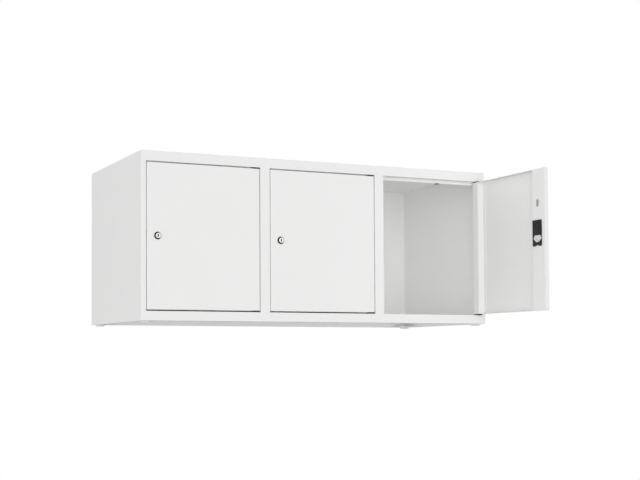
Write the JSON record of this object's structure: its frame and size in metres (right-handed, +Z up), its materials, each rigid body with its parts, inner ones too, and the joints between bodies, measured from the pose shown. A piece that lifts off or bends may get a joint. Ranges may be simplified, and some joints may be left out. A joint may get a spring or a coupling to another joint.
{
  "type": "locker top cabinet",
  "caption": "Low steel top cabinet for lockers: a folded frame with compartments side by side, tray doors hung on pivots, rotary cam locks and corner feet.",
  "frame": {"origin": "midway between the four feet, on the plane that they stand on", "axes": "+X to the right along the front, +Y to the back, +Z up; the doors are on the -Y side"},
  "size_m": [1.2, 0.8471, 0.505],
  "materials": {
    "powder_coat": "satin",
    "foot_grey": "matt",
    "buffer_rubber": "matt",
    "bush_plastic": "matt",
    "pivot_plastic": "matt",
    "lock_case_black": "matt",
    "lock_nickel": "polished",
    "lock_zinc": "zinc plated"
  },
  "bodies": {
    "carcass": {"left_side_panel": "powder_coat", "right_side_panel": "powder_coat", "top_panel": "powder_coat", "top_front_rail": "powder_coat", "top_rear_rail": "powder_coat", "bottom_panel": "powder_coat", "back_panel": "powder_coat", "left_divider": "powder_coat", "right_divider": "powder_coat", "left_post": "powder_coat", "right_post": "powder_coat", "door_stop_left": "powder_coat", "door_stop_middle": "powder_coat", "door_stop_right": "powder_coat", "door_buffer_left": "buffer_rubber", "door_buffer_middle": "buffer_rubber", "door_buffer_right": "buffer_rubber", "corner_gusset_front_left": "powder_coat", "corner_gusset_front_right": "powder_coat", "corner_gusset_rear_left": "powder_coat", "corner_gusset_rear_right": "powder_coat", "foot_front_left": "foot_grey", "foot_front_right": "foot_grey", "foot_rear_left": "foot_grey", "foot_rear_right": "foot_grey", "upper_pivot_bushes": "bush_plastic", "lower_pivot_bushes": "bush_plastic"},
    "door_left": {"door_left_skin": "powder_coat", "door_left_hinge_stiffener": "powder_coat", "door_left_lock_stiffener": "powder_coat", "door_left_upper_pivot": "pivot_plastic", "door_left_lower_pivot": "pivot_plastic", "lock_left_body": "lock_nickel", "lock_left_nut": "lock_zinc", "lock_left_case": "lock_case_black", "lock_left_retainer": "lock_zinc"},
    "lock_left": {"lock_left_plug": "lock_nickel", "lock_left_cam": "lock_zinc"},
    "door_middle": {"door_middle_skin": "powder_coat", "door_middle_hinge_stiffener": "powder_coat", "door_middle_lock_stiffener": "powder_coat", "door_middle_upper_pivot": "pivot_plastic", "door_middle_lower_pivot": "pivot_plastic", "lock_middle_body": "lock_nickel", "lock_middle_nut": "lock_zinc", "lock_middle_case": "lock_case_black", "lock_middle_retainer": "lock_zinc"},
    "lock_middle": {"lock_middle_plug": "lock_nickel", "lock_middle_cam": "lock_zinc"},
    "door_right": {"door_right_skin": "powder_coat", "door_right_hinge_stiffener": "powder_coat", "door_right_lock_stiffener": "powder_coat", "door_right_upper_pivot": "pivot_plastic", "door_right_lower_pivot": "pivot_plastic", "lock_right_body": "lock_nickel", "lock_right_nut": "lock_zinc", "lock_right_case": "lock_case_black", "lock_right_retainer": "lock_zinc"},
    "lock_right": {"lock_right_plug": "lock_nickel", "lock_right_cam": "lock_zinc"}
  },
  "joints": [
    {"name": "door_left_swing", "type": "hinge", "parent": "carcass", "child": "door_left", "pos_m": [-0.2265, -0.242, 0.2525], "axis": [0, 0, 1], "range_deg": [0, 100]},
    {"name": "lock_left_turn", "type": "hinge", "parent": "door_left", "child": "lock_left", "pos_m": [-0.5485, -0.242, 0.255], "axis": [0, -1, 0], "range_deg": [0, 90]},
    {"name": "door_middle_swing", "type": "hinge", "parent": "carcass", "child": "door_middle", "pos_m": [0.1735, -0.242, 0.2525], "axis": [0, 0, 1], "range_deg": [0, 100]},
    {"name": "lock_middle_turn", "type": "hinge", "parent": "door_middle", "child": "lock_middle", "pos_m": [-0.1485, -0.242, 0.255], "axis": [0, -1, 0], "range_deg": [0, 90]},
    {"name": "door_right_swing", "type": "hinge", "parent": "carcass", "child": "door_right", "pos_m": [0.5735, -0.242, 0.2525], "axis": [0, 0, 1], "range_deg": [-91, 9]},
    {"name": "lock_right_turn", "type": "hinge", "parent": "door_right", "child": "lock_right", "pos_m": [0.57912, -0.56395, 0.255], "axis": [0.9998, 0.0175, 0], "range_deg": [0, 90]}
  ]
}
